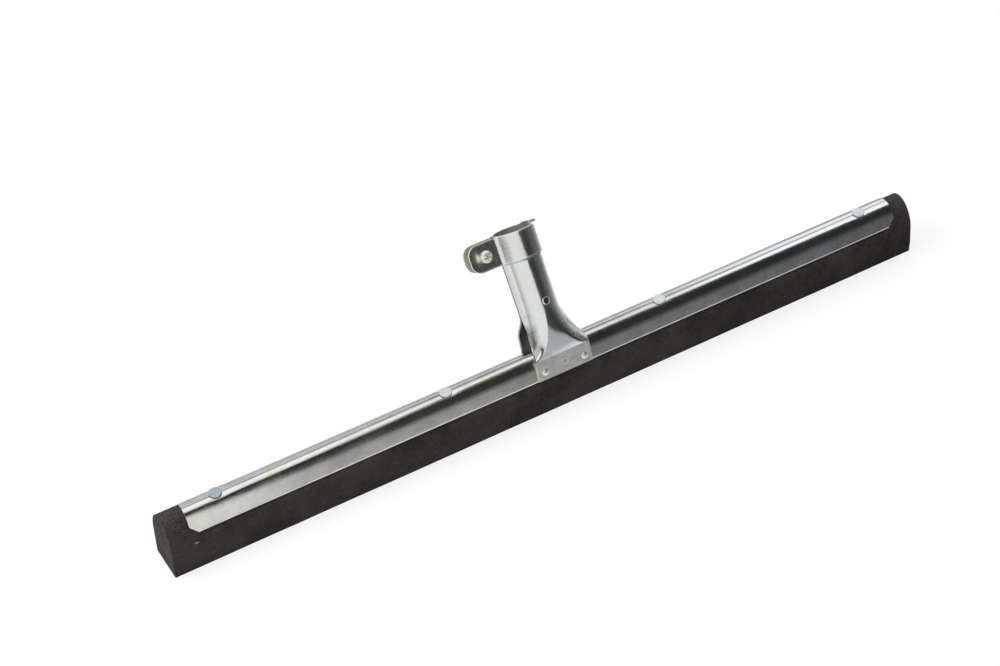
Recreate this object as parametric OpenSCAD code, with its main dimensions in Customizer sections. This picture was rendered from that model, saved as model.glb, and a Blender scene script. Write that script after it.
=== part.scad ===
// Floor squeegee head: a folded steel frame that grips a doubled foam strip,
// with a pressed handle socket riveted over the frame and a screw clamp at its mouth.
// The origin is on the floor under the middle of the blade. X runs along the blade,
// and the handle leans back towards +Y.

/* [Blade] */
// Overall length of the foam strip
blade_l = 550; // [400:10:900]
// Thickness of the doubled strip at the floor
blade_t = 26; // [24:0.5:30]
// Height of the doubled strip where it stands free of the frame
blade_h = 41.5; // [38:0.5:44]
// Length of foam that stands past each end of the frame
blade_overhang = 14.5; // [6:0.5:30]
// Gap between the two lips
lip_gap = 0.5; // [0.4:0.1:0.6]
// Radius of the shoulder where the foam swells out under the frame
shoulder_r = 3.2; // [2:0.1:5]

/* [Frame] */
// Thickness of the frame's sheet
sheet_t = 0.9; // [0.6:0.1:1.2]
// Outer radius of the crown
crown_r = 9.5; // [8.5:0.1:11]
// Height of the crown's centre above the floor
crown_z = 32.8; // [30:0.1:38]
// Splay of each side from upright, in degrees
side_tilt = 22; // [12:1:28]
// Straight length of each side
side_l = 7; // [6:0.1:9]
// Outer radius of the rolled lower edge
roll_r = 1.8; // [1.5:0.1:2.4]
// Turn of the rolled lower edge, in degrees
roll_turn = 100; // [60:5:120]
// Length of the clipped lower corners along the frame
clip_x = 6.7; // [2:0.1:10]
// Height of the clipped lower corners
clip_z = 6.2; // [2:0.1:8]
// Width of the fold line along the crest
crease_w = 0.9; // [0.4:0.1:1.4]

/* [Crown rivets] */
// Distance from each end of the frame to its nearest crown rivet
rivet_inset = 22.9; // [12:0.1:30]
// Diameter of a crown rivet's head
rivet_head_d = 8.3; // [6:0.1:10]
// Thickness of a crown rivet's head
rivet_head_t = 1.1; // [0.8:0.1:2]
// Diameter of a crown rivet's shank
rivet_d = 4; // [3:0.1:5]
// Diameter of a crown rivet's clenched tail
rivet_tail_d = 6.4; // [5.5:0.1:7]
// Thickness of a crown rivet's clenched tail
rivet_tail_t = 1; // [0.8:0.1:1.6]
// Width of the strip inside the fold
strip_w = 9; // [7.5:0.1:10]
// Thickness of the strip inside the fold
strip_t = 1.5; // [1:0.1:2]
// Foam squeezed between the crown and the strip
strip_depth = 4.6; // [3:0.1:6]
// Distance from each end of the strip to the end of the frame
strip_inset = 10; // [4:0.5:14]

/* [Socket] */
// Diameter of the handle that the socket takes
handle_d = 24; // [22:0.1:25]
// Thickness of the socket's sheet
socket_t = 1.2; // [0.9:0.1:1.5]
// Lean of the socket from upright, in degrees
socket_lean = 36.5; // [32:0.5:42]
// Distance from the crown's centre to the mouth of the socket
socket_reach = 86.8; // [80:0.1:110]
// Distance from the crown's centre to the start of the flare
flare_start = 33; // [29:0.5:33.5]
// Width of the open seam
seam_w = 2; // [1:0.1:3]
// Width of the two riveted plates
plate_w = 39.4; // [36:0.1:46]
// Shift of both plates and their rivets from the middle of the frame
plate_shift = 1.4; // [0:0.1:2]
// Height of the front plate above the point where it leaves the crown
plate_rise = 6; // [4:0.1:6.5]
// Drop of both plates below the point where the crown ends
plate_drop = 7.7; // [6.2:0.1:8]
// Top of the rear plate below the point where the crown ends
rear_top = 0.6; // [0.4:0.1:1]
// Outward slope of the flare where it straddles the crown, in degrees
flare_slope = 40; // [25:1:50]
// Turn of the hollow above the front plate from the front, as a rise across its width
hollow_turn = 0.1; // [0:0.01:0.12]
// Diameter of the fixing hole in the tube
fix_d = 4; // [3:0.1:4.5]
// Distance from the mouth to the fixing hole
fix_drop = 49.2; // [40:0.1:49.5]
// Turn of the fixing hole from the front, in degrees
fix_turn = 8; // [0:1:20]
// Width of the bent tab at the mouth
tab_w = 4; // [3:0.1:6]
// Reach of the bent tab past the tube
tab_l = 3.3; // [2:0.1:5]
// Turn of the bent tab from the front, in degrees
tab_turn = 108; // [90:1:140]

/* [Plate rivets] */
// Distance between the two rivets of a plate
plate_pitch = 29; // [24:0.1:30]
// Drop of the front rivets below the point where the crown ends
front_drop = 2.5; // [0:0.1:3]
// Drop of the rear rivets below the point where the crown ends
rear_drop = 3.8; // [3.4:0.1:4.2]
// Diameter of a plate rivet's domed head
dome_d = 5.2; // [4.6:0.1:5.6]
// Height of a plate rivet's domed head
dome_h = 1.3; // [1:0.1:1.8]
// Diameter of a plate rivet's shank
dome_shank_d = 3; // [2.5:0.1:3.2]
// Diameter of a plate rivet's tail
dome_tail_d = 4.6; // [4:0.1:5]
// Thickness of a plate rivet's tail
dome_tail_t = 0.7; // [0.5:0.1:1]
// Outer diameter of the ring pressed in the middle of the front plate
ring_d = 5; // [4:0.1:6]
// Rise of the pressed ring above the line of the front rivets
ring_rise = 1; // [0:0.1:1.5]
// Width of the pressed ring
ring_w = 1; // [0.6:0.1:1.4]
// Depth of the pressed ring
ring_depth = 0.3; // [0.2:0.05:0.5]

/* [Clamp] */
// Height of the band along the socket
band_h = 17.7; // [14:0.1:20]
// Thickness of the band's sheet
band_t = 1.2; // [0.9:0.1:1.5]
// Space between the two ears
ear_gap = 8.2; // [5:0.1:10]
// Distance from the socket's axis to the end of the ears
ear_reach = 35; // [33:0.1:42]
// Corner radius of the ears
ear_corner = 6.5; // [4:0.1:7]
// Radius of the bend between the band and an ear
ear_bend = 3.5; // [2:0.1:4.5]
// Distance from the socket's axis to the screw
screw_x = 23.8; // [23:0.1:28]
// Diameter of the screw
screw_d = 5; // [4:0.1:6]
// Length of the screw under its head
screw_l = 20; // [19:0.5:26]
// Diameter of the screw's head
head_d = 8; // [7.4:0.1:8.6]
// Height of the screw's head
head_h = 3; // [2.4:0.1:3.4]
// Length of each arm pair of the cross recess
cross_l = 4.4; // [3:0.1:5]
// Width of the arms of the cross recess
cross_w = 1; // [0.8:0.1:1.4]
// Depth of the cross recess
cross_depth = 1.4; // [1:0.1:1.8]
// Width of the nut across its flats
nut_af = 8; // [8:0.1:10]
// Height of the nut
nut_h = 4; // [3:0.1:4.5]

/* [Fits] */
// Gap between flat faces that seat on each other
seat_gap = 0.05; // [0.03:0.01:0.1]
// Gap round riveted shanks, under bent sheet and round the foam
wrap_gap = 0.1; // [0.05:0.01:0.2]
// Radial gap between the screw and the nut
thread_gap = 0.08; // [0.05:0.01:0.1]
// Radial gap between the screw and the holes in the ears
ear_hole_gap = 0.3; // [0.2:0.05:0.4]
// Gap between the band and the bent tab
tab_gap = 0.3; // [0.2:0.1:0.6]
// Depth by which one run of a sheet is tucked into the next
tuck = 0.03; // [0.02:0.01:0.05]

/* [Hidden] */
$fn = 64;
far = 2 * blade_h;
frame_l = blade_l - 2 * blade_overhang;
crest_z = crown_z + crown_r;
// centre of the rolled lower edge, seen along the frame
roll_y = (crown_r - roll_r) * cos(side_tilt) + side_l * sin(side_tilt);
roll_z = crown_z + (crown_r - roll_r) * sin(side_tilt) - side_l * cos(side_tilt);
frame_low = roll_z - roll_r;
foam_top = frame_low - wrap_gap;
neck = roll_y - sheet_t / 2 - wrap_gap;
strip_top = crest_z - sheet_t - strip_depth;
fold_z = blade_h - blade_t / 2;
tube_ri = handle_d / 2;
tube_ro = tube_ri + socket_t;
// distance from the crown's centre to the outer face of a plate
plate_out = crown_r + seat_gap + socket_t;
band_top = socket_reach - socket_t - tab_gap;
band_low = band_top - band_h;
band_ri = tube_ro + wrap_gap;
band_ro = band_ri + band_t;
ear_face = ear_gap / 2 + band_t;
screw_z = (band_low + band_top) / 2;
bend_x = sqrt(pow(band_ro + ear_bend - tuck, 2) - pow(ear_face + ear_bend, 2));
// angle by which one arc of a sheet runs into the next
lap = 12;
steel = [0.76, 0.77, 0.74];
bright = [0.82, 0.83, 0.83];
dull = [0.58, 0.60, 0.60];
foam = [0.11, 0.10, 0.10];
rivet_pitch = (frame_l - 2 * rivet_inset) / 3;
rivet_spots = [for (k = [-1.5, -0.5, 0.5, 1.5]) k * rivet_pitch];

// Carries a section drawn with Y across and Z up along the frame
module along_frame(length) {
    rotate([90, 0, 90])
        linear_extrude(height = length, center = true) children();
}

// Puts children on one side of the frame: Z out of the face, Y up it, from the crown's centre
module on_face(side) {
    mirror([0, side > 0 ? 1 : 0, 0])
        translate([0, 0, crown_z])
            rotate([90 - side_tilt, 0, 0]) children();
}

// Puts children on the socket's axis: Z towards its mouth, -Y to its front
module on_axis() {
    translate([0, 0, crown_z])
        rotate([-socket_lean, 0, 0]) children();
}

// A slice of the plane between two directions, for cutting arcs out of rings
module wedge(from, to, reach) {
    polygon([[0, 0],
        for (k = [0 : 4]) reach * [cos(from + (to - from) * k / 4), sin(from + (to - from) * k / 4)]]);
}

module ring(outer, inner) {
    difference() {
        circle(r = outer);
        circle(r = inner);
    }
}

// One side of the folded sheet with its rolled edge, grown by a gap on all faces
module sheet_side(gap) {
    translate([0, crown_z])
        rotate(side_tilt) {
            translate([crown_r - sheet_t - gap - tuck, -side_l])
                square([sheet_t + 2 * gap, side_l + sheet_t]);
            translate([crown_r - roll_r, -side_l]) {
                intersection() {
                    ring(roll_r + gap, roll_r - sheet_t - gap);
                    wedge(-roll_turn, 2 * lap, 2 * roll_r);
                }
                rotate(-roll_turn)
                    translate([roll_r - sheet_t / 2, 0])
                        circle(d = sheet_t + 2 * gap + 2 * tuck);
            }
        }
}

// Section of the folded sheet
module sheet_section(gap) {
    translate([0, crown_z])
        intersection() {
            ring(crown_r + gap, crown_r - sheet_t - gap);
            wedge(side_tilt - lap / 2, 180 - side_tilt + lap / 2, 2 * crown_r);
        }
    sheet_side(gap);
    mirror([1, 0]) sheet_side(gap);
}

module crown_shanks(gap) {
    for (x = rivet_spots)
        translate([x, 0, strip_top - strip_t - rivet_tail_t])
            cylinder(d = rivet_d + 2 * gap, h = far);
}

module plate_shanks(side, drop, gap) {
    for (x = [-1, 1])
        on_face(side)
            translate([plate_shift + x * plate_pitch / 2, -drop, crown_r - sheet_t - dome_tail_t])
                cylinder(d = dome_shank_d + 2 * gap, h = 2 * crown_r);
}

module clipped_corners() {
    for (end = [0, 1])
        mirror([end, 0, 0])
            rotate([90, 0, 0])
                linear_extrude(height = far, center = true)
                    polygon([[frame_l / 2 - clip_x, frame_low], [frame_l / 2, frame_low + clip_z],
                        [frame_l / 2 + clip_x, frame_low], [frame_l / 2, frame_low - clip_z]]);
}

module frame_channel() {
    color(steel)
        difference() {
            along_frame(frame_l)
                difference() {
                    sheet_section(0);
                    translate([0, crest_z])
                        rotate(45)
                            square(crease_w / sqrt(2), center = true);
                }
            clipped_corners();
            crown_shanks(wrap_gap);
            plate_shanks(-1, front_drop, wrap_gap);
            plate_shanks(1, rear_drop, wrap_gap);
        }
}

// Section of the foam where the frame squeezes it
module held_section() {
    inner = crown_r - sheet_t / 2;
    difference() {
        union() {
            translate([0, crown_z]) circle(r = inner);
            polygon([for (s = [1, -1], low = s > 0 ? [0, 1] : [1, 0])
                [s * (inner * cos(side_tilt) + low * side_l * sin(side_tilt)),
                    crown_z + inner * sin(side_tilt) - low * side_l * cos(side_tilt)]]);
            translate([-neck, foam_top - shoulder_r])
                square([2 * neck, roll_z + roll_r - foam_top + shoulder_r]);
            lip_block();
        }
        sheet_section(wrap_gap);
        translate([-lip_gap / 2, -far])
            square([lip_gap, far + strip_top - strip_t / 2]);
        translate([-strip_w / 2 - wrap_gap, strip_top - strip_t - wrap_gap])
            square([strip_w + 2 * wrap_gap, strip_t + 2 * wrap_gap]);
    }
}

// Section of the two lips below the frame, with rounded shoulders
module lip_block() {
    half = blade_t / 2;
    translate([-half, 0]) square([blade_t, foam_top - shoulder_r]);
    translate([-half + shoulder_r, foam_top - 2 * shoulder_r])
        square([blade_t - 2 * shoulder_r, 2 * shoulder_r]);
    for (s = [-1, 1])
        translate([s * (half - shoulder_r), foam_top - shoulder_r]) circle(r = shoulder_r);
}

// Section of the foam past the ends of the frame, where the fold stands full
module free_section() {
    difference() {
        union() {
            translate([0, fold_z]) circle(d = blade_t);
            translate([-blade_t / 2, 0]) square([blade_t, fold_z]);
        }
        translate([-lip_gap / 2, -far]) square([lip_gap, far + fold_z]);
        translate([0, fold_z]) circle(d = lip_gap, $fn = 24);
    }
}

module foam_blade() {
    color(foam)
        difference() {
            union() {
                along_frame(frame_l + 4 * wrap_gap) held_section();
                for (end = [-1, 1])
                    translate([end * (blade_l - blade_overhang + wrap_gap) / 2, 0, 0])
                        along_frame(blade_overhang - wrap_gap) free_section();
            }
            crown_shanks(wrap_gap);
            for (x = rivet_spots)
                translate([x, 0, strip_top - strip_t - rivet_tail_t - wrap_gap])
                    cylinder(d = rivet_tail_d + 2 * wrap_gap, h = rivet_tail_t + 2 * wrap_gap);
            for (spot = [[-1, front_drop], [1, rear_drop]], x = [-1, 1])
                on_face(spot[0])
                    translate([plate_shift + x * plate_pitch / 2, -spot[1],
                        crown_r - sheet_t - dome_tail_t - 2 * wrap_gap])
                        cylinder(d = dome_tail_d + 2 * wrap_gap, h = dome_tail_t + 3 * wrap_gap);
        }
}

module core_strip() {
    color(dull)
        difference() {
            translate([0, 0, strip_top - strip_t / 2])
                cube([frame_l - 2 * strip_inset, strip_w, strip_t], center = true);
            crown_shanks(wrap_gap);
        }
}

// Flat-headed rivet through the crest, the foam and the strip
module crown_rivet(k) {
    edge = rivet_head_t / 3;
    color(bright)
        translate([rivet_spots[k - 1], 0, crest_z + seat_gap])
            rotate_extrude()
                polygon([[0, rivet_head_t], [rivet_head_d / 2 - edge, rivet_head_t],
                    [rivet_head_d / 2, rivet_head_t - edge], [rivet_head_d / 2, 0], [rivet_d / 2, 0],
                    for (z = [strip_top - strip_t - seat_gap - crest_z - seat_gap],
                        p = [[rivet_d, 0], [rivet_tail_d, 0], [rivet_tail_d, -rivet_tail_t], [0, -rivet_tail_t]])
                        [p[0] / 2, z + p[1]]]);
}

// Domed rivet through a plate and the wall of the frame
module plate_rivet(side, x, drop) {
    wall = crown_r - sheet_t - wrap_gap;
    seat = plate_out + seat_gap;
    ball = (pow(dome_d / 2, 2) + pow(dome_h, 2)) / (2 * dome_h);
    color(bright)
        on_face(side)
            translate([plate_shift + x * plate_pitch / 2, -drop, 0]) {
                intersection() {
                    translate([0, 0, seat + dome_h - ball]) sphere(r = ball);
                    translate([0, 0, seat]) cylinder(d = dome_d + 1, h = dome_h + 1);
                }
                translate([0, 0, wall]) cylinder(d = dome_shank_d, h = seat - wall);
                translate([0, 0, wall - dome_tail_t]) cylinder(d = dome_tail_d, h = dome_tail_t);
            }
}

module plate_rivet_front_left() { plate_rivet(-1, -1, front_drop); }
module plate_rivet_front_right() { plate_rivet(-1, 1, front_drop); }
module plate_rivet_rear_left() { plate_rivet(1, -1, rear_drop); }
module plate_rivet_rear_right() { plate_rivet(1, 1, rear_drop); }

// The flare and its two plates, seen on the socket's axis. Each column of points runs from inside
// the wall of the tube down to a plate, or to the free edge over the crown.
// Angles go round the tube from its front.
front_turn = 180 + socket_lean - side_tilt;
rear_turn = socket_lean + side_tilt;
front_up = [0, sin(front_turn), -cos(front_turn)];
rear_up = [0, -sin(rear_turn), cos(rear_turn)];
front_out = [0, cos(front_turn), sin(front_turn)];
rear_out = [0, cos(rear_turn), sin(rear_turn)];
front_line = plate_out * front_out + plate_rise * front_up;
rear_line = plate_out * rear_out - rear_top * rear_up;
front_angle = atan2(front_line[2], front_line[1]);
rear_angle = atan2(rear_line[2], rear_line[1]);
flare_r = tube_ro - tuck;
flare_t = socket_t - 2 * tuck;
flare_lap = 1.5 * socket_t;
flare_pull = 0.9 * (flare_start - front_line[2]);
seam_turn = 90 - asin((seam_w / 2 + wrap_gap) / tube_ri);
flare_rows = 10;
front_hold = 2.3;
side_hold = 0.95;

// [angle round the tube, place along the lower edge]: 0 to 1 front, 1 to 2 over the crown, 2 to 3 rear
flare_keys = [[-seam_turn, 0], [-5, 0.035], [-2, 0.05], [8, 0.95], [12, 0.965], [58, 1], [122, 2],
    [166, 2.12], [194, 2.88], [360 - seam_turn, 3]];
flare_steps = [6, 1, 4, 1, 4, 6, 4, 4, 6];
flare_columns = [for (k = [0 : len(flare_steps) - 1], j = [0 : flare_steps[k] - 1])
    flare_keys[k] + (flare_keys[k + 1] - flare_keys[k]) * j / flare_steps[k],
    flare_keys[len(flare_steps)]];

function blend(a, b, t) = a + (b - a) * t;
function unit(v) = v / norm(v);
function tube_side(a) = [sin(a), -cos(a), 0];
function crown_side(t) = let (a = blend(front_angle, rear_angle, t)) [0, cos(a), sin(a)];
function over_crown(p) = p > 1 && p < 2;
function edge_point(p) =
    [plate_shift, 0, 0] + (
    p <= 1 ? front_line + [plate_w * (p - 0.5), 0, 0]
    : p >= 2 ? rear_line + [plate_w * (2.5 - p), 0, 0]
    : [plate_w / 2, 0, 0] + blend(norm(front_line), norm(rear_line), p - 1) * crown_side(p - 1));
side_slope = [sin(flare_slope), 0, 0] - cos(flare_slope) * crown_side(0.5);
function edge_slope(p) =
    p <= 1 ? -front_up
    : p >= 2 ? -rear_up
    : p < 1.5 ? unit(blend(-front_up, side_slope, 2 * p - 2))
    : unit(blend(side_slope, -rear_up, 2 * p - 3));
function edge_pull(p) = blend(0.45, 0.22, min(max(p - 1, 0), 1)) * flare_pull;
function soft_step(low, high, s) =
    let (t = min(max((s - low) / (high - low), 0), 1)) t * t * (3 - 2 * t);
// the front keeps the tube's width down to near its plate, the closed side spreads evenly,
// and the rear has a shoulder beside the open seam
function spread(p, s) =
    blend(pow(s, blend(front_hold, side_hold, min(max(2 * p - 2, 0), 1))), soft_step(0.08, 0.45, s),
        soft_step(2.12, 2.88, p));
function hollow(p, s) =
    p < 0.04 || p > 0.96 ? 0
    : hollow_turn * plate_w * (p - 0.5) * spread(p, s) * soft_step(0.38, 0.62, s) * soft_step(1, 0.75, s);
function flare_curve(c, s) =
    (2 * pow(s, 3) - 3 * pow(s, 2) + 1) * (flare_r * tube_side(c[0]) + [0, 0, flare_start])
    + (pow(s, 3) - 2 * pow(s, 2) + s) * flare_pull * [0, 0, -1]
    + (3 * pow(s, 2) - 2 * pow(s, 3)) * edge_point(c[1])
    + (pow(s, 3) - pow(s, 2)) * edge_pull(c[1]) * edge_slope(c[1]);
function flare_point(c, s) =
    let (q = flare_curve(c, s))
    [blend(flare_r * sin(c[0]), edge_point(c[1])[0], spread(c[1], s)), q[1] - hollow(c[1], s), q[2]];
function plate_point(c) =
    c[1] <= 1 ? edge_point(c[1]) - (plate_rise + plate_drop) * front_up
    : edge_point(c[1]) - (plate_drop - rear_top) * rear_up;

// rows of a column: inside the tube, down the flare, foot of the plate
flare_outer = [for (c = flare_columns) [
    flare_r * tube_side(c[0]) + [0, 0, flare_start + flare_lap],
    for (r = [0 : flare_rows]) flare_point(c, r / flare_rows),
    plate_point(c)]];
function flare_normal(i, r) =
    let (last = len(flare_columns) - 1, c = flare_columns[i])
    r <= 1 ? tube_side(c[0])
    : r > flare_rows && c[1] <= 1 ? front_out
    : r > flare_rows && c[1] >= 2 ? rear_out
    : unit(cross(flare_outer[i][min(r + 1, flare_rows + 1)] - flare_outer[i][r - 1],
        flare_outer[min(i + 1, last)][r] - flare_outer[max(i - 1, 0)][r]));
flare_inner = [for (i = [0 : len(flare_columns) - 1])
    [for (r = [0 : flare_rows + 2])
        flare_outer[i][r] - flare_t * flare_normal(i, min(r, flare_rows + 1))]];

// One wall of the flare between two columns, from the tube to the edge or to the foot of a plate
module flare() {
    rows = flare_rows + 3;
    cols = len(flare_columns);
    inside = rows * cols;
    points = [for (c = flare_outer) each c, for (c = flare_inner) each c];
    foot = [for (i = [0 : cols - 2])
        over_crown((flare_columns[i][1] + flare_columns[i + 1][1]) / 2) ? rows - 2 : rows - 1];
    quads = [
        for (i = [0 : cols - 2], r = [0 : foot[i] - 1])
            let (a = i * rows + r, b = a + rows)
            each [[a, b, b + 1, a + 1], [inside + a, inside + a + 1, inside + b + 1, inside + b]],
        for (i = [0 : cols - 2])
            let (a = i * rows, b = a + rows, m = foot[i])
            each [[a, inside + a, inside + b, b], [a + m, b + m, inside + b + m, inside + a + m]],
        for (i = [0 : cols - 1], r = [0 : rows - 2])
            let (a = i * rows + r, b = a + 1)
            let (left = i > 0 && r < foot[i - 1], right = i < cols - 1 && r < foot[i])
            if (left != right)
                right ? [a, b, inside + b, inside + a] : [a, inside + a, inside + b, b]];
    polyhedron(points, [for (q = quads) each [[q[0], q[1], q[2]], [q[0], q[2], q[3]]]]);
}

module tube() {
    difference() {
        translate([0, 0, flare_start]) cylinder(r = tube_ro, h = socket_reach - flare_start);
        cylinder(r = tube_ri, h = 2 * socket_reach);
        translate([-2 * tube_ro, -seam_w / 2, 0])
            cube([2 * tube_ro, seam_w, 2 * socket_reach]);
        rotate(fix_turn)
            translate([0, 0, socket_reach - fix_drop])
                rotate([90, 0, 0]) cylinder(d = fix_d, h = 2 * tube_ro);
    }
    rotate(tab_turn - 90)
        translate([tube_ri + socket_t / 2, -tab_w / 2, socket_reach - socket_t])
            cube([socket_t / 2 + tab_l, tab_w, socket_t]);
}

module handle_socket() {
    color(steel)
        difference() {
            on_axis() {
                tube();
                flare();
            }
            plate_shanks(-1, front_drop, wrap_gap);
            plate_shanks(1, rear_drop, wrap_gap);
            on_face(-1)
                translate([plate_shift, ring_rise - front_drop, plate_out - ring_depth])
                    linear_extrude(height = 2 * ring_depth) ring(ring_d / 2, ring_d / 2 - ring_w);
        }
}

// Section of the band across the socket's axis, open on the seam's side
module band_section() {
    corner = atan2(ear_face + ear_bend, -bend_x);
    difference() {
        ring(band_ro, band_ri);
        wedge(corner + lap / 6, 360 - corner - lap / 6, 2 * band_ro);
    }
    for (s = [0, 1])
        mirror([0, s]) {
            translate([-bend_x, ear_face + ear_bend])
                intersection() {
                    ring(ear_bend + band_t, ear_bend);
                    wedge(corner - 180 - lap / 2, -90, 2 * (ear_bend + band_t));
                }
            translate([-ear_reach, ear_face - band_t])
                square([ear_reach - bend_x, band_t]);
        }
}

// Outline of the ears, seen along the screw, with the band's full height on the tube
module ear_outline() {
    translate([-screw_x, band_low]) square([screw_x + 2 * band_ro, band_h]);
    translate([-ear_reach, band_low + ear_corner])
        square([ear_reach, band_h - 2 * ear_corner]);
    translate([-ear_reach + ear_corner, band_low]) square([ear_reach - ear_corner, band_h]);
    for (z = [band_low + ear_corner, band_top - ear_corner])
        translate([-ear_reach + ear_corner, z]) circle(r = ear_corner);
}

module clamp_band() {
    color(bright)
        on_axis()
            difference() {
                intersection() {
                    translate([0, 0, band_low]) linear_extrude(height = band_h) band_section();
                    rotate([90, 0, 0])
                        linear_extrude(height = 4 * band_ro, center = true) ear_outline();
                }
                translate([-screw_x, 0, screw_z])
                    rotate([90, 0, 0])
                        cylinder(d = screw_d + 2 * ear_hole_gap, h = 4 * ear_face, center = true);
            }
}

// Puts children on the screw: Z out of its head, from the front face of the front ear
module on_screw() {
    on_axis()
        translate([-screw_x, -ear_face, screw_z])
            rotate([90, 0, 0]) children();
}

module clamp_screw() {
    ball = (pow(head_d / 2, 2) + pow(head_h, 2)) / (2 * head_h);
    rim = head_h / 3;
    color(bright)
        on_screw()
            translate([0, 0, seat_gap])
                difference() {
                    union() {
                        intersection() {
                            translate([0, 0, head_h - ball]) sphere(r = ball);
                            cylinder(d = head_d, h = head_h);
                        }
                        cylinder(d = head_d - rim, h = rim);
                        translate([0, 0, -screw_l]) cylinder(d = screw_d, h = screw_l);
                    }
                    for (a = [0, 90])
                        rotate(a + 20)
                            translate([-cross_l / 2, -cross_w / 2, head_h - cross_depth])
                                cube([cross_l, cross_w, head_h]);
                }
}

module clamp_nut() {
    color(dull)
        on_screw()
            translate([0, 0, -2 * ear_face - nut_h - seat_gap])
                difference() {
                    cylinder(d = nut_af / cos(30), h = nut_h, $fn = 6);
                    translate([0, 0, -nut_h]) cylinder(r = screw_d / 2 + thread_gap, h = 3 * nut_h);
                }
}

frame_channel();
foam_blade();
core_strip();
crown_rivet(1);  // crown_rivet_1
crown_rivet(2);  // crown_rivet_2
crown_rivet(3);  // crown_rivet_3
crown_rivet(4);  // crown_rivet_4
handle_socket();
plate_rivet_front_left();
plate_rivet_front_right();
plate_rivet_rear_left();
plate_rivet_rear_right();
clamp_band();
clamp_screw();
clamp_nut();
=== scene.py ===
import bmesh
import bpy
import numpy as np
from mathutils import Matrix


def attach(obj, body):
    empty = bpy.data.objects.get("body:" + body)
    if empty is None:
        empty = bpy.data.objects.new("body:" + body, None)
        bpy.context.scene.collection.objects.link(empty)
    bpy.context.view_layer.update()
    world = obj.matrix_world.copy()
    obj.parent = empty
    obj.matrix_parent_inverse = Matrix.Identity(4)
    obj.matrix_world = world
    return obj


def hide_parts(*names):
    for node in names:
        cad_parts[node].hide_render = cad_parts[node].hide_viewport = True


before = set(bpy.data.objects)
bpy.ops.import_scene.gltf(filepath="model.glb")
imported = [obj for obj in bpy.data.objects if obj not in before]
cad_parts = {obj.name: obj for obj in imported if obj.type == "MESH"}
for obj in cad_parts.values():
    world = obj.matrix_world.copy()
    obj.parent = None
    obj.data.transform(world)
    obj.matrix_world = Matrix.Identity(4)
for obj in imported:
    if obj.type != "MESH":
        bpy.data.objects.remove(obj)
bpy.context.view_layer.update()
scene = bpy.context.scene
scene.view_settings.view_transform = "Standard"
deg = np.pi / 180
mm = 0.001
print("frame loaded:", len(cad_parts), "solids")


# Small helpers

def ease(low, high, x):  # 0 up to low, 1 from high on, an S-curve between
    t = np.clip((x - low) / (high - low), 0, 1)
    return t * t * (3 - 2 * t)


def bump(x, width):  # bell of height 1 and the given half width
    return np.exp(-(x / width) ** 2)


def points(*columns):  # broadcasts x, y, z arrays into one array of points
    return np.stack(np.broadcast_arrays(*columns), -1).astype(float)


def joined(*arrays):
    return np.concatenate(arrays)


def gridLines(*arrays):  # sorted values without repeats
    return np.unique(np.round(joined(*arrays), 4))


def polar(r, turn, z):  # points at a radius and a turn round the Z axis
    return points(r * np.cos(turn), r * np.sin(turn), z)


def facesOf(index):  # quads between neighbouring rows and columns of an index grid
    quads = [index[:-1, :-1], index[:-1, 1:], index[1:, 1:], index[1:, :-1]]
    return np.stack(quads, -1).reshape(-1, 4)


def indexGrid(rows, cols, first=0, closeRows=False, closeCols=False):
    index = first + np.arange(rows * cols).reshape(rows, cols)
    if closeRows:
        index = np.vstack([index, index[:1]])
    if closeCols:
        index = np.hstack([index, index[:, :1]])
    return index


def vertexNormals(verts, quads):  # unit sum of the normals of the quads round each point
    a, b, c, d = (verts[quads[:, k]] for k in range(4))
    flat = np.cross(c - a, d - b)
    total = np.zeros_like(verts)
    for k in range(4):
        np.add.at(total, quads[:, k], flat)
    return total / np.maximum(np.linalg.norm(total, axis=1, keepdims=True), 1e-12)


def shell(outer, inner, quads):  # two skins with the same faces, joined round every open edge
    outer, inner = outer.reshape(-1, 3), inner.reshape(-1, 3)
    sides = quads[:, [[0, 1], [1, 2], [2, 3], [3, 0]]].reshape(-1, 2)
    _, first, count = np.unique(np.sort(sides, 1), axis=0, return_index=True, return_counts=True)
    a, b = sides[first[count == 1]].T
    n = len(outer)
    rim = np.stack([b, a, a + n, b + n], 1)
    return np.vstack([outer, inner]), np.vstack([quads, quads[:, ::-1] + n, rim])


def walk(w, start, heading, runs):
    # follows runs end to end: each run is a length and the angle it turns by, 0 for a straight;
    # gives the place and the heading at distance w from the start
    x, y = np.full_like(w, start[0]), np.full_like(w, start[1])
    h, done = heading, 0.0
    facing = np.full_like(w, heading)
    for length, turn in runs:
        part = np.clip(w - done, 0, length)
        if turn:
            r = length / turn
            x += r * (np.sin(h + part / r) - np.sin(h))
            y -= r * (np.cos(h + part / r) - np.cos(h))
            facing += part / r
        else:
            x += part * np.cos(h)
            y += part * np.sin(h)
        h, done = h + turn, done + length
    return x, y, facing


def revolve(r, z, steps):  # profile r, z turned round the Z axis; the ends close at the axis
    turn = np.arange(steps) / steps * 2 * np.pi
    grid = polar(r[:, None], turn, z[:, None])
    return grid.reshape(-1, 3), facesOf(indexGrid(len(r), steps, closeCols=True))


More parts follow.
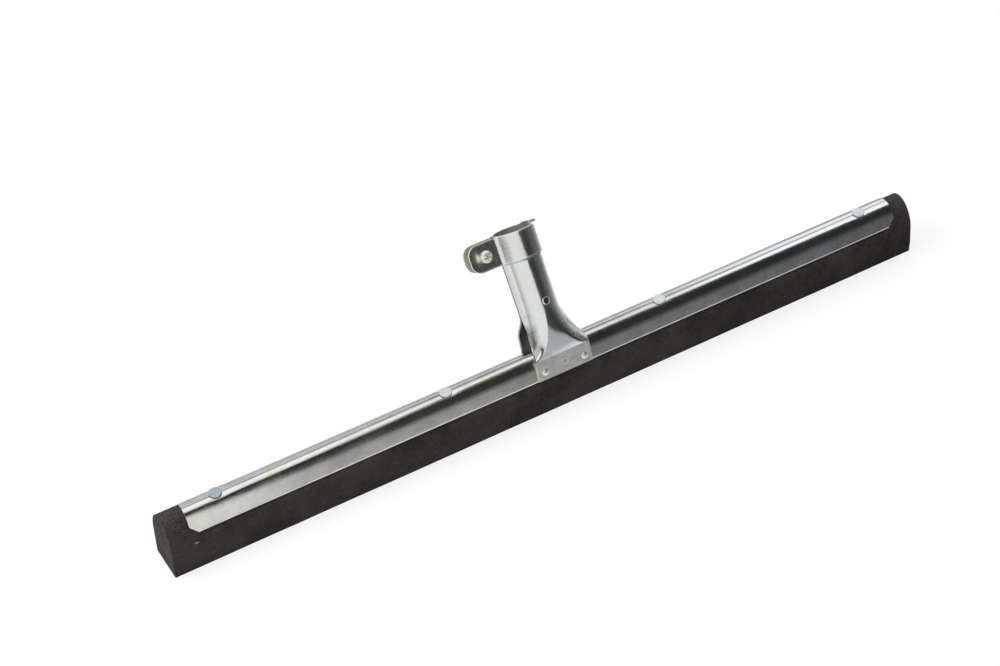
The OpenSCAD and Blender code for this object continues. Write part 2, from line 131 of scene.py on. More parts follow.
def makePiece(name, parts, finish, nodes, soften=0.0, crease=38, body="squeegee"):
    verts, quads, *marks = parts
    mesh = bpy.data.meshes.new(name)
    mesh.from_pydata((verts * mm).tolist(), [], quads.tolist())
    for key, values in (marks[0] if marks else {}).items():
        mesh.attributes.new(key, "FLOAT", "POINT").data.foreach_set("value", np.asarray(values, np.float32))
    work = bmesh.new()
    work.from_mesh(mesh)
    bmesh.ops.remove_doubles(work, verts=work.verts, dist=2e-6)
    bmesh.ops.recalc_face_normals(work, faces=work.faces)
    work.to_mesh(mesh)
    work.free()
    mesh.shade_smooth()
    mesh.set_sharp_from_angle(angle=crease * deg)
    mesh.materials.append(finish)
    piece = bpy.data.objects.new(name, mesh)
    scene.collection.objects.link(piece)
    if soften:
        bevel = piece.modifiers.new("softEdges", "BEVEL")
        bevel.width, bevel.segments = soften * mm, 2
        bevel.limit_method, bevel.angle_limit = "ANGLE", 50 * deg
        bevel.harden_normals = True
    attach(piece, body)
    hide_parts(*nodes)
    print("piece", name, len(mesh.polygons), "faces")
    return piece


# Places on the object: the handle's axis, the two faces of the frame and the clamp's screw

placeOf = {"crownZ": 32.8, "lean": 36.5, "tilt": 22, "screwX": 23.8, "earFace": 5.3, "screwZ": 76.45}


def onAxis(p):  # Z runs up the socket from the crown's centre, -Y is its front
    c, s = np.cos(placeOf["lean"] * deg), np.sin(placeOf["lean"] * deg)
    x, y, z = np.moveaxis(p, -1, 0)
    return points(x, y * c + z * s, placeOf["crownZ"] - y * s + z * c)


def onFace(p, side):  # Z comes out of the frame's face, Y runs up it; side -1 is the front
    c, s = np.cos(placeOf["tilt"] * deg), np.sin(placeOf["tilt"] * deg)
    x, y, z = np.moveaxis(p, -1, 0)
    return points(x, side * (z * c - y * s), placeOf["crownZ"] + y * c + z * s)


def onScrew(p):  # Z comes out of the screw's head, from the front face of the front ear
    x, y, z = np.moveaxis(p, -1, 0)
    return onAxis(points(x - placeOf["screwX"], -placeOf["earFace"] - z, placeOf["screwZ"] + y))


# Node helpers

def addNode(tree, kind, settings=None, **inputs):
    made = tree.nodes.new("ShaderNode" + kind)
    for key, value in (settings or {}).items():
        setattr(made, key, value)
    for key, value in inputs.items():
        entry = made.inputs[int(key[1:])] if key[0] == "i" and key[1:].isdigit() else made.inputs[key]
        if isinstance(value, bpy.types.NodeSocket):
            tree.links.new(value, entry)
        else:
            entry.default_value = value
    return made


def maths(tree, kind, a, b=0.0, c=0.0):
    return addNode(tree, "Math", {"operation": kind}, i0=a, i1=b, i2=c).outputs[0]


def ramp(tree, value, low, high, fromLow=0.0, fromHigh=1.0):  # S-curve between two values
    made = addNode(tree, "MapRange", {"interpolation_type": "SMOOTHSTEP"}, Value=value)
    for entry, number in zip(made.inputs[1:5], (low, high, fromLow, fromHigh)):
        entry.default_value = number
    return made.outputs[0]


def mixColour(tree, factor, a, b):
    made = addNode(tree, "Mix", {"data_type": "RGBA"}, Factor=factor, i6=a, i7=b)
    return made.outputs[2]


def mixValue(tree, factor, a, b):
    return addNode(tree, "Mix", i0=factor, i2=a, i3=b).outputs[0]


def noise(tree, vector, scale, detail=2.0, roughness=0.5):
    return addNode(tree, "TexNoise", Vector=vector, Scale=scale, Detail=detail,
                   Roughness=roughness).outputs["Fac"]


def stretched(tree, vector, scale):
    return addNode(tree, "Mapping", Vector=vector, Scale=scale).outputs[0]


def feed(tree, node, sources):  # links sources to the inputs that they are named for
    for key, source in sources.items():
        tree.links.new(source, node.inputs[key])


def newFinish(name):  # a material, its nodes, its shader and the place on the piece
    finish = bpy.data.materials.new(name)
    finish.use_nodes = True
    tree = finish.node_tree
    place = addNode(tree, "TexCoord").outputs["Object"]
    return finish, tree, tree.nodes["Principled BSDF"], place


# Shared effects

def buildPlating():
    # zinc plating: broad warm and cool clouds, short drawing marks along X, fine mottle
    group = bpy.data.node_groups.new("zincPlating", "ShaderNodeTree")
    for way, kind, keys in (("INPUT", "Vector", ["Vector"]), ("INPUT", "Color", ["Cool", "Warm"]),
                            ("INPUT", "Float", ["Polish", "Specks"]), ("OUTPUT", "Color", ["Color"]),
                            ("OUTPUT", "Float", ["Roughness", "Height", "Wave"])):
        for key in keys:
            group.interface.new_socket(key, in_out=way, socket_type="NodeSocket" + kind)
    given, out = (group.nodes.new("NodeGroup" + way) for way in ("Input", "Output"))
    place = given.outputs["Vector"]
    cloud = noise(group, place, 42.0, 4.0, 0.62)
    mottle = noise(group, place, 520.0, 3.0, 0.6)
    marks = noise(group, stretched(group, place, (28.0, 1500.0, 1500.0)), 1.0, 3.0, 0.65)
    fine = noise(group, place, 2600.0)
    warmth = ramp(group, maths(group, "MULTIPLY_ADD", mottle, 0.22, cloud), 0.42, 0.82)
    colour = mixColour(group, warmth, given.outputs["Cool"], given.outputs["Warm"])
    shade = ramp(group, marks, 0.2, 0.8, 0.93, 1.0)
    dimmed = addNode(group, "Mix", {"data_type": "RGBA", "blend_type": "MULTIPLY"},
                     Factor=1.0, i6=colour, i7=shade)
    rough = maths(group, "MULTIPLY_ADD", maths(group, "SUBTRACT", cloud, 0.5), 0.16,
                  given.outputs["Polish"])
    rough = maths(group, "MULTIPLY_ADD", maths(group, "SUBTRACT", mottle, 0.5), 0.10, rough)
    specks = ramp(group, noise(group, place, 1300.0, 2.0, 0.55), 0.62, 0.72)
    rough = maths(group, "MULTIPLY_ADD", specks, given.outputs["Specks"], rough)
    high = maths(group, "ADD", maths(group, "MULTIPLY", marks, 0.55),
                 maths(group, "MULTIPLY", fine, 0.45))
    wave = maths(group, "MULTIPLY_ADD", noise(group, place, 640.0), 0.3, noise(group, place, 190.0))
    feed(group, out, {"Color": dimmed.outputs[2], "Roughness": rough, "Height": high, "Wave": wave})
    return group


plating = buildPlating()


def platedFinish(name, cool, warm, polish, grain, metal=1.0, specks=0.05, uneven=0.0):
    finish, tree, shader, place = newFinish(name)
    coat = addNode(tree, "Group", {"node_tree": plating}, Vector=place, Cool=(*cool, 1),
                   Warm=(*warm, 1), Polish=polish, Specks=specks)
    wavy = addNode(tree, "Bump", Strength=1.0, Distance=uneven * mm,
                   Height=coat.outputs["Wave"])
    relief = addNode(tree, "Bump", Strength=grain, Distance=0.0001,
                     Height=coat.outputs["Height"], Normal=wavy.outputs["Normal"])
    feed(tree, shader, {"Base Color": coat.outputs["Color"], "Roughness": coat.outputs["Roughness"],
                        "Normal": relief.outputs["Normal"]})
    shader.inputs["Metallic"].default_value = metal
    return finish


def addTinge(finish, mark, colour, rough=None, metal=None, amount=1.0, cloudy=0.0, patchScale=420.0):
    # where a piece carries the mark its plating turns to another colour, and roughness and metal if given
    tree = finish.node_tree
    shader = tree.nodes["Principled BSDF"]
    place = addNode(tree, "TexCoord").outputs["Object"]
    mask = addNode(tree, "Attribute", {"attribute_name": mark}).outputs["Fac"]
    patch = ramp(tree, noise(tree, place, patchScale, 3.0, 0.6), 0.3, 0.7, 1.0 - cloudy, 1.0)
    mask = maths(tree, "MULTIPLY", maths(tree, "MULTIPLY", mask, patch), amount)
    for key, value in (("Base Color", (*colour, 1)), ("Roughness", rough), ("Metallic", metal)):
        if value is None:
            continue
        entry = shader.inputs[key]
        before = entry.links[0].from_socket if entry.links else entry.default_value
        mix = mixColour if key == "Base Color" else mixValue
        tree.links.new(mix(tree, mask, before, value), entry)


zincSheet = platedFinish("zincSheet", (0.72, 0.745, 0.775), (0.80, 0.775, 0.69), 0.17, 0.10, uneven=0.012)
zincSocket = platedFinish("zincSocket", (0.77, 0.80, 0.82), (0.77, 0.78, 0.745), 0.18, 0.10, uneven=0.05)
zincClamp = platedFinish("zincClamp", (0.76, 0.79, 0.78), (0.78, 0.76, 0.70), 0.21, 0.10, uneven=0.14)
zincScrew = platedFinish("zincScrew", (0.86, 0.87, 0.85), (0.88, 0.86, 0.76), 0.30, 0.10, metal=0.7)
rivetMetal = platedFinish("rivetMetal", (0.80, 0.82, 0.87), (0.80, 0.81, 0.84), 0.38, 0.16, metal=0.55)
stripSteel = platedFinish("stripSteel", (0.50, 0.51, 0.51), (0.47, 0.45, 0.42), 0.38, 0.20)
# each tinge: finish, mark and colour, then roughness, metal, amount, cloudiness and scale of the patches
tinges = [
    (rivetMetal, "dull", (0.42, 0.48, 0.56)),
    (rivetMetal, "plain", (0.80, 0.805, 0.77), 0.30, 0.75),
    (zincSheet, "cool", (0.75, 0.78, 0.82), None, None, 0.7, 0.25, 60.0),
    (zincSheet, "stain", (0.54, 0.53, 0.44), None, None, 0.48, 1.0, 150.0),
    (zincSheet, "stain", (0.54, 0.61, 0.72), None, None, 0.40, 1.0, 78.0),
    # painted highlight along the crown of the right half
    (zincSheet, "sheen", (0.92, 0.945, 0.965), None, None, 0.85, 0.2, 150.0),
    # painted shade along the crease and where the sides roll in
    (zincSheet, "crest", (0.20, 0.20, 0.20), None, None, 0.9, 0.4, 120.0),
    (zincSheet, "honey", (0.80, 0.78, 0.66), None, None, 0.6, 0.7, 90.0),
    (zincSocket, "flank", (0.70, 0.75, 0.80), 0.42, 0.55, 0.75, 0.9, 1500.0),
    (zincSocket, "frost", (0.74, 0.74, 0.69), 0.44, 0.42, 0.92, 0.5),
    (zincSocket, "frost", (0.52, 0.54, 0.49), None, None, 0.7, 1.0, 260.0),
    # honey: warm tone on the plates' left, and a painted warm glint low on the flare's left
    (zincSocket, "honey", (0.80, 0.74, 0.56), None, None, 0.6, 0.5, 160.0),
    (zincSocket, "facet", (0.89, 0.93, 0.95), 0.56, 0.9, 0.95, 0.2),
    (zincSocket, "inside", (0.27, 0.34, 0.30), 0.5, 0.4, 0.95, 0.3),
    (zincSocket, "olive", (0.37, 0.40, 0.20), 0.5, 0.3, 0.9, 0.4),
    # painted shade inside the socket
    (zincSocket, "dusk", (0.21, 0.22, 0.17), 0.5, 0.4, 0.95, 0.3),
    # painted shade beside the seam and a painted dark reflection low on the flare
    (zincSocket, "smudge", (0.12, 0.13, 0.115), None, None, 0.95, 0.3, 300.0),
    (zincSocket, "rim", (0.80, 0.80, 0.77), 0.45, 0.35, 0.8, 0.1),
    (zincSocket, "shade", (0.05, 0.052, 0.048), 0.6, 0.3, 0.85),
    # painted reflection: a darker teal strip on the band
    (zincClamp, "teal", (0.42, 0.53, 0.50), 0.30, 0.9, 0.9, 0.65, 620.0),
    # painted highlight: a golden glint on the front ear beside the screw
    (zincClamp, "gold", (0.90, 0.84, 0.62), 0.30, 0.8, 0.8, 0.6),
    (zincClamp, "olive", (0.46, 0.47, 0.30), 0.45, 0.35, 0.9, 0.4),
    (zincClamp, "edge", (0.86, 0.87, 0.84), 0.35, 0.5, 0.8),
]
for tinge in tinges:
    addTinge(*tinge)


def buildFoamRubber():
    # closed-cell rubber: black with a brown cast, small open pores, dusty patches
    finish, tree, shader, place = newFinish("foamRubber")
    cloud = noise(tree, place, 38.0, 4.0, 0.6)
    grain = noise(tree, place, 900.0, 4.0, 0.7)
    pores = addNode(tree, "TexVoronoi", {"feature": "F1"}, Vector=place, Scale=1150.0,
                    Randomness=1.0).outputs["Distance"]
    pit = ramp(tree, pores, 0.12, 0.5)
    dust = ramp(tree, maths(tree, "MULTIPLY_ADD", grain, 1.2, cloud), 0.88, 1.32)
    colour = mixColour(tree, dust, (0.033, 0.0275, 0.0275, 1), (0.083, 0.070, 0.069, 1))
    # painted shade: darker in the pores
    colour = mixColour(tree, ramp(tree, pores, 0.05, 0.35, 0.55, 0.0), colour, (0.017, 0.0145, 0.0145, 1))
    # one small torn nick near the left end shows the pale inside
    nick = addNode(tree, "VectorMath", {"operation": "DISTANCE"},
                   Vector=stretched(tree, place, (1.0, 1.0, 2.6)), i1=(-0.2583, -0.013, 0.0573))
    torn = ramp(tree, nick.outputs["Value"], 0.0008, 0.0018, 0.9, 0.0)
    colour = mixColour(tree, torn, colour, (0.62, 0.58, 0.55, 1))
    high = maths(tree, "MULTIPLY_ADD", grain, 0.8, pit)
    relief = addNode(tree, "Bump", Strength=0.5, Distance=0.0003, Height=high)
    feed(tree, shader, {"Base Color": colour, "Roughness": ramp(tree, grain, 0.2, 0.8, 0.86, 0.98),
                        "Normal": relief.outputs["Normal"]})
    shader.inputs["Specular IOR Level"].default_value = 0.3
    return finish


foamRubber = buildFoamRubber()
print("finishes ready:", len(bpy.data.materials))


# Frame: one folded sheet with a crest line, rolled lower edges and clipped corners

frameSheet = {"length": 521.0, "thick": 0.9, "crownR": 9.5, "crownZ": 32.8, "tilt": 22.0, "side": 7.0,
              "rollR": 1.8, "rollTurn": 100.0, "clipX": 6.7, "clipZ": 6.2, "low": 27.394,
              "creaseW": 0.40, "creaseDepth": 0.26, "dimple": 0.22, "dimpleR": 6.0,
              "lineX": [-260, -225, -130, -60, 60, 130, 200, 260],
              "lineW": [-0.5, -0.45, 0, 0.45, 0.4, -0.4, -0.2, 0.3]}
rivetRow = [-237.6, -79.2, 79.2, 237.6]


def sheetRuns():
    s = frameSheet
    rc, rr = s["crownR"] - s["thick"] / 2, s["rollR"] - s["thick"] / 2
    crown, roll = (90 - s["tilt"]) * deg, s["rollTurn"] * deg
    return rc, [(rc * crown, -crown), (s["side"], 0), (rr * roll, -roll)]


def sheetLine(w):
    # half of the section: an arc over the crown, a straight side and the rolled edge, mirrored
    rc, runs = sheetRuns()
    y, z, facing = walk(np.abs(w), (0.0, frameSheet["crownZ"] + rc), 0.0, runs)
    side = np.where(w < 0, -1.0, 1.0)
    return side * y, z, side * -np.sin(facing), np.cos(facing)


def buildFrame():
    # carries the section along X; each row ends where the clipped corner cuts it
    s = frameSheet
    runs = sheetRuns()[1]
    half = sum(length for length, _ in runs)
    w = gridLines(np.linspace(-half, half, 71), np.linspace(-1.4, 1.4, 29),
                  np.linspace(half - 3, half, 13), np.linspace(-half, -half + 3, 13))
    tip, near = s["length"] / 2, np.linspace(0, 12, 15)
    x = joined(np.linspace(-tip, tip, 121), *(k * (tip - np.array([0.4, 1.0, 2.5])) for k in (-1, 1)),
               *(r + k * near for r in rivetRow for k in (-1, 1)))
    v = np.unique(np.round(x / tip, 6))
    y, z, ny, nz = (q[:, None] for q in sheetLine(w))
    end = tip - s["clipX"] * np.clip(1 - (z - s["low"]) / s["clipZ"], 0, 1)
    x = v[None, :] * end
    line = np.interp(x, s["lineX"], s["lineW"])
    sink = s["creaseDepth"] * bump(w[:, None] - line, s["creaseW"])
    for r in rivetRow:
        sink = sink + s["dimple"] * bump(np.hypot(x - r, 1.2 * w[:, None]), s["dimpleR"])
    outer = points(x, y + ny * (s["thick"] / 2 - sink), z + nz * (s["thick"] / 2 - sink))
    inner = points(x, y - ny * s["thick"] / 2, z - nz * s["thick"] / 2)
    verts, faces = shell(outer, inner, facesOf(indexGrid(len(w), len(v))))
    # painted shade: darker along the crease line, more so towards the left
    paintedCreaseShade = joined(bump(w[:, None] - line, s["creaseW"] + 0.1).ravel(), np.zeros(x.size))
    paintedCreaseShade = paintedCreaseShade * (0.3 + 0.7 * ease(160, -20, verts[:, 0]))
    # painted shade: a dark line where each side starts to roll in
    start = half - runs[-1][0]
    fold = ease(start - 0.3, start, np.abs(w)) * ease(start + 0.8, start + 0.45, np.abs(w))
    paintedCreaseShade = np.maximum(paintedCreaseShade, joined(0.6 * np.repeat(fold, len(v)), np.zeros(x.size)))
    rear = np.tile(np.repeat(ease(-0.3, 1.2, w), len(v)), 2)
    # painted highlight: lighter along the crown of the right half
    sheen = np.tile(np.repeat(ease(-5.4, -3.6, w), len(v)), 2) * ease(50, 170, verts[:, 0])
    return verts, faces, {"cool": np.maximum(ease(20, 220, verts[:, 0]), rear), "crest": paintedCreaseShade,
                          "sheen": sheen, "honey": ease(60, -40, verts[:, 0]) * (1 - rear),
                          "stain": np.ones(len(verts))}


makePiece("frameSheet", buildFrame(), zincSheet, ["frame_channel"], soften=0.22)


# Foam: a strip folded double, squeezed by the frame and swelling past its edges

foamStrip = {"length": 550.0, "thick": 26.0, "fold": 28.5, "bend": 21.0, "top": 41.5, "gap": 0.5,
             "swell": 3.3, "neck": 9.2, "low": 27.39, "frameEnd": 260.5, "clipX": 6.7, "clipZ": 6.2,
             "wave": 0.12, "slant": 2.8, "slantX": 262.0, "slantZ": 9.0}


def foamOutline(q, z):
    # free and held sections at the same places: q below 0 is the lip at height z, then the fold to its top;
    # the free fold is a tall arch, half of an ellipse from the bend to the top
    s = foamStrip
    top = np.clip(q, 0, 1)
    half, tall = s["thick"] / 2, s["top"] - s["bend"]
    start = np.arcsin((s["low"] - s["bend"]) / tall)
    turn = np.where(q < 0, np.arcsin(np.clip((z - s["bend"]) / tall, 0, 1)),
                    start + (np.pi / 2 - start) * top)
    fy, fz = half * np.cos(turn), s["bend"] + tall * np.sin(turn)
    ri, tilt = frameSheet["crownR"] - frameSheet["thick"] - 0.12, frameSheet["tilt"] * deg
    straight = frameSheet["side"] + 0.9
    arc = ri * (np.pi / 2 - tilt)
    hy = ri * np.cos(tilt) + straight * np.sin(tilt)
    hz = frameSheet["crownZ"] + ri * np.sin(tilt) - straight * np.cos(tilt)
    heldW = top * (straight + arc)
    by, bz, _ = walk(heldW, (hy, hz), np.pi / 2 + tilt, [(straight, 0), (arc, np.pi / 2 - tilt)])
    lip = q < 0
    fz = np.where(lip, z, fz)
    by, bz = np.where(lip, s["neck"], by), np.where(lip, z, bz)
    return fy, fz, by, bz


def foamSlant(x, z):  # the right end is cut a little short towards its top
    s = foamStrip
    share = np.clip((z - s["slantZ"]) / (s["top"] - s["slantZ"]), 0, 1)
    return s["slant"] * share * ease(s["slantX"], s["length"] / 2, x)


def buildFoam():
    # outer skin: held section plus the swell, a quarter round that grows with the distance past
    # the metal's edge; inner skin: the closed slit of the fold
    s = foamStrip
    lipZ = s["low"] - joined(np.linspace(s["low"], 4.5, 22), 3.3 * np.linspace(1.2, 0, 16)[:-1] ** 2)
    q = joined(np.full(len(lipZ), -1.0), np.linspace(0, 1, 34))
    z = joined(lipZ, np.full(34, s["low"]))
    ends = joined(np.linspace(250, 254.5, 5), np.arange(255, 266, 0.4),
                  np.linspace(266.5, s["length"] / 2, 14))
    x = joined(-ends[::-1], np.linspace(-246, 246, 83), ends)[None, :]
    fy, fz, by, bz = (a[:, None] for a in foamOutline(q, z))
    ax = np.abs(x)
    clip = np.hypot(s["clipX"], s["clipZ"])
    past = np.maximum(ax - s["frameEnd"], s["low"] - fz)
    past = np.maximum(past, ((ax - s["frameEnd"] + s["clipX"]) * s["clipZ"]
                             - (fz - s["low"]) * s["clipX"]) / clip)
    swell = np.sqrt(1 - (1 - np.clip(past / s["swell"], 0, 1)) ** 2)
    wave = s["wave"] * (np.sin(x / 31 + fz / 9) + 0.6 * np.sin(x / 13.7 + 1.3)) * ease(2, 6, past)
    y, h = by + (fy - by) * swell - np.abs(wave) * 0.8, bz + (fz - bz) * swell
    right = points(x - foamSlant(x, h), y, h)
    outer = joined(right, (right * (1, -1, 1))[::-1][1:])
    slitW = joined(z[q < 0], np.linspace(s["low"], s["fold"] + 0.4, 34))
    sy, sz, _ = walk(slitW, (s["gap"] / 2, 0.0), np.pi / 2,
                     [(s["fold"], 0), (np.pi * s["gap"] / 4, np.pi / 2)])
    slit = points(x - foamSlant(x, sz[:, None]), sy[:, None], sz[:, None])
    inner = joined(slit, (slit * (1, -1, 1))[::-1][1:])
    faces = facesOf(indexGrid(*outer.shape[:2]))
    return shell(outer, inner, faces)


foam = makePiece("foamBlade", buildFoam(), foamRubber, ["foam_blade"], soften=0.7, crease=60)


# Crown rivets: flat soft heads that hug the crest

crownRivet = {"headR": 4.15, "headH": 1.1, "rimR": 0.45, "dish": 0.07, "dishR": 2.6, "shankR": 2.0,
              "tailR": 3.2, "tailH": 1.0, "seat": 42.35, "under": 7.05, "droop": 0.020,
              "lean": [0.020, -0.012, 0.016, -0.022], "dull": [1.0, 0.15, 0.0, 0.1]}


def buildCrownRivet(place, lean, dull):
    # profile turned round Z: a faintly dished face, rounded rim, shank and clenched tail;
    # the head then droops with the square of y to follow the crest
    s = crownRivet
    t = np.linspace(0, 1, 9)
    turn = t * np.pi / 2
    flatR, foot = s["headR"] - s["rimR"], -s["under"]
    r = joined(t * flatR, flatR + s["rimR"] * np.sin(turn[1:]),
               [s["headR"], s["headR"] - 0.1, s["shankR"], s["shankR"], s["tailR"], s["tailR"], 0])
    face = s["headH"] - s["dish"] * bump(t * s["headR"], s["dishR"])
    z = joined(face, s["headH"] - s["rimR"] + s["rimR"] * np.cos(turn[1:]),
               [0.15, 0, 0, foot, foot, foot - s["tailH"], foot - s["tailH"]])
    verts, faces = revolve(r, z, 56)
    head = ease(-0.4, 0.0, verts[:, 2])
    verts[:, 2] += head * (lean * verts[:, 0] - s["droop"] * verts[:, 1] ** 2)
    return verts + (place, 0, s["seat"]), faces, {"dull": np.full(len(verts), dull)}


for k, place in enumerate(rivetRow):
    head = buildCrownRivet(place, crownRivet["lean"][k], crownRivet["dull"][k])
    makePiece(f"crownRivet{k + 1}", head, rivetMetal, [f"crown_rivet_{k + 1}"])


# Plate rivets: small domes that hold the socket's plates to the frame

plateRivet = {"domeR": 2.3, "domeH": 0.9, "rim": 0.12, "shankR": 1.5, "tailR": 2.3, "tailH": 0.7,
              "seat": 10.8, "wall": 8.5, "pitch": 29.0, "shift": 1.4, "drop": {-1: 2.5, 1: 3.8}}


def buildPlateRivet(side, along):
    # profile turned round the face's normal: a dome, a short rim, the shank and its tail
    s = plateRivet
    t = np.linspace(0, 1, 15)
    r = joined(s["domeR"] * np.sin(t * np.pi / 2),
               [s["shankR"], s["shankR"], s["tailR"], s["tailR"], 0])
    foot = s["wall"] - s["seat"]
    z = joined(s["rim"] + (s["domeH"] - s["rim"]) * np.cos(t * np.pi / 2) ** 0.9,
               [0, foot, foot, foot - s["tailH"], foot - s["tailH"]])
    r, z = np.insert(r, len(t), s["domeR"]), np.insert(z, len(t), 0.0)
    verts, faces = revolve(r, z, 40)
    spot = (s["shift"] + along * s["pitch"] / 2, -s["drop"][side], s["seat"])
    return onFace(verts + spot, side), faces, {"plain": np.ones(len(verts))}


for side, word in ((-1, "front"), (1, "rear")):
    for along, hand in ((-1, "left"), (1, "right")):
        makePiece("plateRivet" + word.title() + hand.title(), buildPlateRivet(side, along), rivetMetal,
                  [f"plate_rivet_{word}_{hand}"])


# Socket: a rolled tube with an open seam that flares into two riveted plates

socket = {"tubeR": 13.2, "thick": 1.2, "reach": 86.8, "flareStart": 33.0, "flareRows": 37, "plateW": 39.4,
          "plateShift": 1.4, "plateRise": 6.0, "plateDrop": 7.7, "rearTop": 0.6, "plateOut": 10.75,
          "flareSlope": 40.0, "hollow": 0.06, "leftLag": 4.6, "frontHold": 2.3, "sideHold": 0.95,
          "fixTurn": 8.0, "fixR": 2.0, "fixZ": 37.6, "burr": 0.16, "tabTurn": 86.0, "tabHalf": 2.0,
          "tabReach": 16.4, "tabDrop": 1.82, "tabBend": 0.62, "mouthDrop": 1.35, "ringR": 2.0, "ringW": 0.38,
          "ringDepth": 0.16, "ringDrop": 1.5, "dentR": 3.0, "dentDepth": 0.07}
# turn round the tube from its front, place along the lower edge (0 to 1 front, 1 to 2 over the crown,
# 2 to 3 rear) and the columns of the grid up to the next line
flareKeys = np.array([[-88.5, 0, 24], [-10, 0.035, 8], [-7, 0.05, 120], [8, 0.95, 8], [12, 0.965, 22],
                      [58, 1, 32], [122, 2, 18], [166, 2.12, 44], [194, 2.88, 28], [262.5, 3, 0]])


def aroundTube(turn):  # straight out of the tube at a turn from its front
    return points(np.sin(turn * deg), -np.cos(turn * deg), 0 * turn)


def faceFrame(turn):  # out of a plate and up it, seen on the socket's axis
    return np.array([0, np.cos(turn), np.sin(turn)]), np.array([0, np.sin(turn), -np.cos(turn)])


def flareEdge():
    # where the flare ends: the top line of the front plate, round over the crown, the top of the rear plate
    s = socket
    frontOut, frontUp = faceFrame((180 + placeOf["lean"] - placeOf["tilt"]) * deg)
    rearOut, rearUp = faceFrame((placeOf["lean"] + placeOf["tilt"]) * deg)
    rearUp = -rearUp
    frontLine = s["plateOut"] * frontOut + s["plateRise"] * frontUp
    rearLine = s["plateOut"] * rearOut - s["rearTop"] * rearUp
    return frontOut, frontUp, rearUp, frontLine, rearLine


def unit(v):
    return v / np.linalg.norm(v, axis=-1, keepdims=True)


def flareGrid(angle, share):
    # cubic from the tube, leaving it straight down, to the lower edge, meeting a plate in its plane; the
    # front stays as wide as the tube until near its plate, the right side spreads evenly and the rear has a
    # shoulder beside the seam; the front's left stays back longer, and above the front plate a flat hollow
    # turns a little left
    s = socket
    _, frontUp, rearUp, frontLine, rearLine = flareEdge()
    place = np.interp(angle, flareKeys[:, 0], flareKeys[:, 1])[:, None]
    side = aroundTube(angle)
    t = np.clip(place - 1, 0, 1)
    fa, ra = (np.arctan2(q[2], q[1]) for q in (frontLine, rearLine))
    a = fa + (ra - fa) * t
    crown = np.concatenate([0 * a, np.cos(a), np.sin(a)], 1)
    reach = np.linalg.norm(frontLine) + (np.linalg.norm(rearLine) - np.linalg.norm(frontLine)) * t
    x = s["plateW"] * np.where(place <= 1, place - 0.5, np.where(place >= 2, 2.5 - place, 0.5))
    edge = reach * crown + (x + s["plateShift"]) * np.array([1.0, 0, 0])
    pull = 0.9 * (s["flareStart"] - frontLine[2])
    middle = (fa + ra) / 2
    fall = s["flareSlope"] * deg
    slope = np.array([np.sin(fall), -np.cos(fall) * np.cos(middle), -np.cos(fall) * np.sin(middle)])
    lean = np.where(t < 0.5, unit(-frontUp + (slope + frontUp) * 2 * t),
                    unit(slope + (-rearUp - slope) * (2 * t - 1)))
    edgePull = (0.45 - 0.23 * t) * pull
    u = share[:, None, None]
    top = (s["tubeR"] * side + np.array([0, 0, s["flareStart"]]))[None]
    grid = ((2 * u ** 3 - 3 * u ** 2 + 1) * top + (u ** 3 - 2 * u ** 2 + u) * pull * np.array([0, 0, -1.0])
            + (3 * u ** 2 - 2 * u ** 3) * edge[None] + (u ** 3 - u ** 2) * (edgePull * lean)[None])
    u, across = share[:, None], place[:, 0]
    spread = u ** (s["frontHold"] + (s["sideHold"] - s["frontHold"]) * np.clip(2 * across - 2, 0, 1))
    spread = spread + (ease(0.08, 0.45, u) - spread) * ease(2.12, 2.88, across)
    grid[..., 0] = top[..., 0] + (edge[:, 0] - top[..., 0]) * spread
    begin = 0.23 + 0.27 * across
    facet = ease(0.028, 0.055, across) * ease(0.972, 0.945, across) * ease(begin, begin + 0.17, u)
    window = ease(0.25, 0.8, u) * spread * ease(1, 0.75, u) * ease(0.985, 0.90, across) * (across > 0.05)
    grid[..., 1] -= s["hollow"] * s["plateW"] * (across - 0.05) * window
    left = np.clip((-8 - angle) / 80.5, 0, 1) ** 1.1
    grid[..., 1] += s["leftLag"] * left * ease(0.1, 0.7, u) * ease(1, 0.66, u)
    return grid, edge, across, facet


